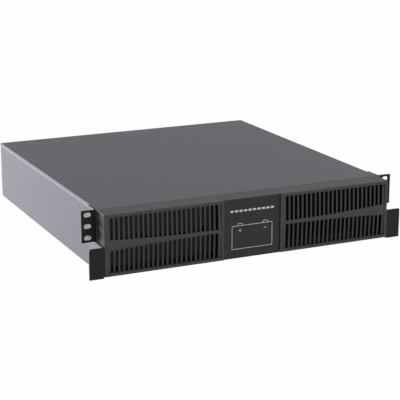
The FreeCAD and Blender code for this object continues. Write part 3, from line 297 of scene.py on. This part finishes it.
def plated(name, colour, rough, rolled):
    """Plated or bare metal with rolling streaks."""
    finish = Finish(name)
    streaks = finish.noise(1.2 * MM, detail=4.0, stretch=rolled)
    finish.mottle(streaks, colour, spread=0.10)
    finish.roughness(streaks, rough)
    finish.bump(streaks, depth=0.01 * MM, strength=0.3)
    finish.set(Metallic=1.0)
    return finish.material


def insulation(name, colour):
    """Soft cable cover with faint marks of the extruder."""
    finish = Finish(name)
    finish.mottle(finish.noise(6 * MM), colour, spread=0.08)
    finish.roughness(finish.noise(1.5 * MM), rough=(0.42, 0.56))
    finish.bump(finish.noise(0.8 * MM), depth=0.03 * MM, strength=0.3)
    finish.set(Specular_IOR_Level=0.4)
    return finish.material


def foam(name, colour):
    """Closed-cell foam: small round cells in a matt skin."""
    finish = Finish(name)
    cells = finish.cells(0.8 * MM)
    finish.mottle(cells, colour, spread=0.25)
    finish.roughness(cells, rough=(0.85, 0.95))
    finish.bump(cells, depth=0.15 * MM, strength=0.6)
    finish.set(Specular_IOR_Level=0.2)
    return finish.material


def threaded(name, colour):
    """Plated steel whose thread shows as fine rings along Y."""
    finish = Finish(name)
    streaks = finish.noise(1.0 * MM, detail=3.0)
    finish.mottle(streaks, colour, spread=0.10)
    finish.roughness(streaks, rough=(0.26, 0.40))
    finish.bump(finish.rings("Y", THREAD_PITCH), depth=0.15 * MM, strength=0.5)
    finish.set(Metallic=1.0)
    return finish.material


def ink(name, colour):
    """Screen print: a pale, slightly uneven film."""
    finish = Finish(name)
    finish.mottle(finish.noise(0.7 * MM), colour, spread=0.06)
    finish.roughness(finish.noise(0.5 * MM), rough=(0.5, 0.65))
    finish.bump(finish.noise(0.3 * MM), depth=0.01 * MM, strength=0.3)
    finish.set(Specular_IOR_Level=0.3)
    return finish.material


def paint_finishes():
    return {
        # Paler upper folds of the case are a painted highlight.
        "case_paint": painted_fold_highlights(
            "case_paint", CASE_GREY, rough=(0.50, 0.60), specular=0.06, slopes=(0.65, 0.93), highlight_gain=3.4
        ),
        # Painted shade: the bracket's ears are near-black, its side plate the case's grey.
        "bracket_paint": painted_shade_except_sides(
            "bracket_paint", BRACKET_PAINTED_SHADE, CASE_GREY, rough=(0.50, 0.60), specular=0.16
        ),
        "inner_black": painted("inner_black", grey(0.012), rough=(0.6, 0.7), specular=0.15),
    }


def plastic_finishes():
    return {
        "bezel_plastic": moulded_gloss("bezel_plastic", BEZEL_BLACK, rough=(0.48, 0.58), specular=0.34),
        "battery_case": moulded("battery_case", (0.050, 0.050, 0.055), rough=(0.5, 0.62), specular=0.4),
        "rail_plastic": moulded("rail_plastic", (0.72, 0.72, 0.68), rough=(0.4, 0.5), specular=0.5),
        "plug_plastic": moulded("plug_plastic", (0.20, 0.20, 0.21), rough=(0.42, 0.54), specular=0.45),
        "breaker_plastic": moulded("breaker_plastic", grey(0.030), rough=(0.38, 0.48), specular=0.45),
        "lever_plastic": moulded("lever_plastic", (0.58, 0.58, 0.56), rough=(0.34, 0.44), specular=0.5),
        "fuse_ceramic": moulded("fuse_ceramic", (0.80, 0.78, 0.72), rough=(0.16, 0.24), specular=0.5),
        "cable_red": insulation("cable_red", (0.45, 0.03, 0.03)),
        "cable_black": insulation("cable_black", grey(0.025)),
        "foam": foam("foam", grey(0.06)),
    }


def metal_finishes():
    return {
        "zinc_steel": plated("zinc_steel", (0.55, 0.55, 0.56), rough=(0.30, 0.42), rolled=ROLLED_Y),
        "screw_steel": plated("screw_steel", grey(0.50), rough=(0.24, 0.36), rolled=ROLLED_X),
        "screw_black": plated("screw_black", grey(0.05), rough=(0.35, 0.45), rolled=ROLLED_X),
        "tab_metal": plated("tab_metal", (0.75, 0.74, 0.70), rough=(0.18, 0.28), rolled=ROLLED_X),
        "copper": plated("copper", (0.72, 0.42, 0.28), rough=(0.22, 0.36), rolled=ROLLED_X),
    }


def node_finishes():
    """Finishes of single nodes that differ from their slot's."""
    # The trays are lit and shaded copies of one paint: the left one lighter as painted light, the right one
    # and its handle darker as painted shade.
    tray_shaded_black = painted("tray_shaded_black", grey(0.004), rough=(0.7, 0.8), specular=0.05)
    return {
        # Paler upper folds of the cover are a painted highlight.
        "top_cover": painted_fold_highlights(
            "cover_paint", CASE_GREY, rough=(0.50, 0.60), specular=0.06, slopes=(0.60, 0.82), highlight_gain=2.2
        ),
        "bezel_centre_panel": moulded_front(
            "centre_panel_plastic", BEZEL_BLACK, PANEL_BLACK, rough=(0.48, 0.58), specular=0.30
        ),
        "battery_tray_left": painted("tray_lit_grey", grey(0.030), rough=(0.6, 0.7), specular=0.15),
        "battery_tray_right": tray_shaded_black,
        "tray_handle_right": tray_shaded_black,
        "ground_terminal": threaded("ground_stud", (0.62, 0.58, 0.46)),
    }


def dress_nodes():
    """Give every CAD node the finish of its slot, or its own."""
    by_slot = {**paint_finishes(), **plastic_finishes(), **metal_finishes()}
    by_node = node_finishes()
    for part in frame["record"]["subparts"]:
        name = part["node"]
        for slot in frame["nodes"][name].material_slots:
            slot.material = by_node.get(name) or by_slot[part["material_slot"]]


# Printed marks
def ribbon(points, width, closed=False):
    """Outline of a flat line of constant width with mitred corners, as (left, right) point pairs."""
    pairs = []
    count = len(points)
    for i, point in enumerate(points):
        before = points[i - 1] if closed or i > 0 else None
        after = points[(i + 1) % count] if closed or i < count - 1 else None
        first = (point - before).normalized() if before is not None else (after - point).normalized()
        second = (after - point).normalized() if after is not None else first
        normal = Vector((-first.y, first.x)) + Vector((-second.y, second.x))
        reach = width / (normal.length_squared / 2)
        pairs.append((point + normal * reach / 2, point - normal * reach / 2))
    return pairs


def add_ribbon(mesh, points, width, y, closed=False):
    """Add a printed line to a bmesh on the plane Y = y."""
    pairs = ribbon(points, width, closed)
    verts = [[mesh.verts.new((p.x, y, p.y)) for p in pair] for pair in pairs]
    steps = range(len(verts)) if closed else range(len(verts) - 1)
    for i in steps:
        a, b = verts[i], verts[(i + 1) % len(verts)]
        mesh.faces.new((a[0], b[0], b[1], a[1]))


def add_plate(mesh, points, y):
    mesh.faces.new([mesh.verts.new((p.x, y, p.y)) for p in points])


def post_line(x, z):
    """Round-shouldered cap of one battery post, open at its foot."""
    turns = [i * math.pi / 2 / POST_ROUND_STEPS for i in range(POST_ROUND_STEPS + 1)]
    left = [Vector((-math.cos(t), math.sin(t))) * POST_ROUND for t in turns]
    right = [Vector((-p.x, p.y)) for p in reversed(left)]
    shoulder = POST_HALF - POST_ROUND
    level = z + POST_RISE - POST_ROUND
    points = [Vector((x - POST_HALF, z))]
    points += [Vector((x - shoulder, level)) + p for p in left]
    points += [Vector((x + shoulder, level)) + p for p in right]
    points.append(Vector((x + POST_HALF, z)))
    return points


def cross_outline(x, z):
    """Twelve corners of a plus sign."""
    half = LINE / 2
    quarter = [Vector((half, SIGN_HALF)), Vector((half, half)), Vector((SIGN_HALF, half))]
    corners = []
    for c, s in ((1, 0), (0, -1), (-1, 0), (0, 1)):
        corners += [Vector((x + c * p.x - s * p.y, z + s * p.x + c * p.y)) for p in quarter]
    return corners


def bar_outline(x0, x1, z0, z1):
    return [Vector((x0, z0)), Vector((x1, z0)), Vector((x1, z1)), Vector((x0, z1))]


def printed_piece(name, draw, material, y):
    """Build a mesh of flat marks and give it the thickness of an ink film in front of y."""
    mesh = bmesh.new()
    draw(mesh, y)
    bmesh.ops.recalc_face_normals(mesh, faces=mesh.faces)
    made = bmesh.ops.extrude_face_region(mesh, geom=list(mesh.faces))
    raised = [v for v in made["geom"] if isinstance(v, bmesh.types.BMVert)]
    bmesh.ops.translate(mesh, verts=raised, vec=(0, -INK_THICKNESS, 0))
    bmesh.ops.recalc_face_normals(mesh, faces=mesh.faces)
    data = bpy.data.meshes.new(name)
    mesh.to_mesh(data)
    mesh.free()
    data.materials.append(material)
    piece = bpy.data.objects.new(name, data)
    bpy.context.scene.collection.objects.link(piece)
    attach(piece, "case")


def print_marks():
    """Battery pictogram with its two poles, and a plain segmented strip above it."""
    low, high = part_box("bezel_centre_panel")
    middle = (low.x + high.x) / 2
    level = (low.z + high.z) / 2
    pale = ink("panel_ink", grey(0.62))

    def pictogram(mesh, y):
        bottom = level + BATTERY_LOW + LINE / 2
        top = level + BATTERY_HIGH - LINE / 2
        half = BATTERY_HALF - LINE / 2
        add_ribbon(mesh, bar_outline(middle - half, middle + half, bottom, top), LINE, y, closed=True)
        for x in POST_PLACES:
            add_ribbon(mesh, post_line(middle + x, top + LINE / 2), LINE, y)
        z = level + SIGN_LEVEL
        plus, minus = (middle + x for x in POST_PLACES)
        add_plate(mesh, cross_outline(plus, z), y)
        add_plate(mesh, bar_outline(minus - SIGN_HALF, minus + SIGN_HALF, z - LINE / 2, z + LINE / 2), y)

    def strip(mesh, y):
        z = level + STRIP_LEVEL
        width = (2 * STRIP_HALF + STRIP_GAP) / STRIP_COUNT - STRIP_GAP
        for i in range(STRIP_COUNT):
            x = middle - STRIP_HALF + i * (width + STRIP_GAP)
            add_plate(mesh, bar_outline(x, x + width, z - STRIP_HEIGHT / 2, z + STRIP_HEIGHT / 2), y)

    printed_piece("battery_pictogram", pictogram, pale, low.y)
    printed_piece("segment_strip", strip, pale, low.y)


# Stage
def white_share(tree):
    """1 for rays from the camera and for mirrored or transmitted ones, 0 for rays that light things."""
    path = tree.nodes.new("ShaderNodeLightPath")
    most = path.outputs["Is Camera Ray"]
    for name in ("Is Glossy Ray", "Is Transmission Ray"):
        node = tree.nodes.new("ShaderNodeMath")
        node.operation = "MAXIMUM"
        tree.links.new(most, node.inputs[0])
        tree.links.new(path.outputs[name], node.inputs[1])
        most = node.outputs["Value"]
    return most


def build_world():
    """Faint even fill, which shows as plain white to the camera and in reflections."""
    world = bpy.data.worlds.new("studio")
    bpy.context.scene.world = world
    world.use_nodes = True
    tree = world.node_tree
    tree.nodes.clear()
    fill = tree.nodes.new("ShaderNodeBackground")
    fill.inputs["Color"].default_value = WHITE
    fill.inputs["Strength"].default_value = WORLD_FILL
    white = tree.nodes.new("ShaderNodeBackground")
    white.inputs["Color"].default_value = WHITE
    white.inputs["Strength"].default_value = 1.0
    mix = tree.nodes.new("ShaderNodeMixShader")
    output = tree.nodes.new("ShaderNodeOutputWorld")
    tree.links.new(white_share(tree), mix.inputs["Fac"])
    tree.links.new(fill.outputs["Background"], mix.inputs[1])
    tree.links.new(white.outputs["Background"], mix.inputs[2])
    tree.links.new(mix.outputs["Shader"], output.inputs["Surface"])


def floor_material():
    """Near-white to the camera and in reflections, with a matt share that takes the object's shadow."""
    material = bpy.data.materials.new("floor_white")
    material.use_nodes = True
    tree = material.node_tree
    tree.nodes.clear()
    matt = tree.nodes.new("ShaderNodeBsdfDiffuse")
    matt.inputs["Color"].default_value = FLOOR_COLOUR
    glow = tree.nodes.new("ShaderNodeEmission")
    glow.inputs["Color"].default_value = WHITE
    glow.inputs["Strength"].default_value = 1.0
    share = tree.nodes.new("ShaderNodeMath")
    share.operation = "MULTIPLY"
    share.inputs[1].default_value = WHITE_SHARE
    mix = tree.nodes.new("ShaderNodeMixShader")
    output = tree.nodes.new("ShaderNodeOutputMaterial")
    tree.links.new(white_share(tree), share.inputs[0])
    tree.links.new(share.outputs["Value"], mix.inputs["Fac"])
    tree.links.new(matt.outputs["BSDF"], mix.inputs[1])
    tree.links.new(glow.outputs["Emission"], mix.inputs[2])
    tree.links.new(mix.outputs["Shader"], output.inputs["Surface"])
    return material


def build_floor():
    half = FLOOR_HALF
    data = bpy.data.meshes.new("floor")
    corners = [(x, y, -FLOOR_DROP) for x, y in ((-half, -half), (half, -half), (half, half), (-half, half))]
    data.from_pydata(corners, [], [(0, 1, 2, 3)])
    data.materials.append(floor_material())
    floor = bpy.data.objects.new("floor", data)
    bpy.context.scene.collection.objects.link(floor)


def add_lamp(name, place, target, size, level):
    """Soft area lamp that gives a face turned to it an irradiance of level times pi."""
    way = Vector(target) - Vector(place)
    data = bpy.data.lights.new(name, "AREA")
    data.shape = "RECTANGLE"
    data.size, data.size_y = size
    data.energy = level * math.pi ** 2 * way.length_squared
    lamp = bpy.data.objects.new(name, data)
    lamp.location = place
    lamp.rotation_euler = way.to_track_quat("-Z", "Y").to_euler()
    lamp.visible_camera = False
    bpy.context.scene.collection.objects.link(lamp)


def build_lamps():
    add_lamp("key_left", (-2.9, 2.6, 0.42), target=(-0.22, 0.0, 0.04), size=(3.0, 1.4), level=2.42)
    add_lamp("soft_front", (-0.1, -2.4, 0.45), target=(0.0, -0.24, 0.04), size=(1.4, 0.8), level=0.38)
    add_lamp("soft_side", (2.6, 0.7, 0.25), target=(0.22, 0.0, 0.04), size=(1.2, 0.6), level=0.50)
    add_lamp("soft_right", (1.5, -0.8, 0.55), target=(0.22, -0.1, 0.05), size=(1.0, 0.6), level=0.48)


def build_camera():
    data = bpy.data.cameras.new("camera")
    data.sensor_width = SENSOR_WIDTH
    data.lens = FOCAL_PIXELS * SENSOR_WIDTH / IMAGE_WIDTH
    camera = bpy.data.objects.new("camera", data)
    camera.location = CAMERA_PLACE
    camera.rotation_euler = (math.pi / 2 - CAMERA_ELEVATION, 0, -CAMERA_AZIMUTH)
    bpy.context.scene.collection.objects.link(camera)
    bpy.context.scene.camera = camera


bpy.context.scene.view_settings.view_transform = "Standard"
dress_nodes()
print_marks()
build_world()
build_floor()
build_lamps()
build_camera()
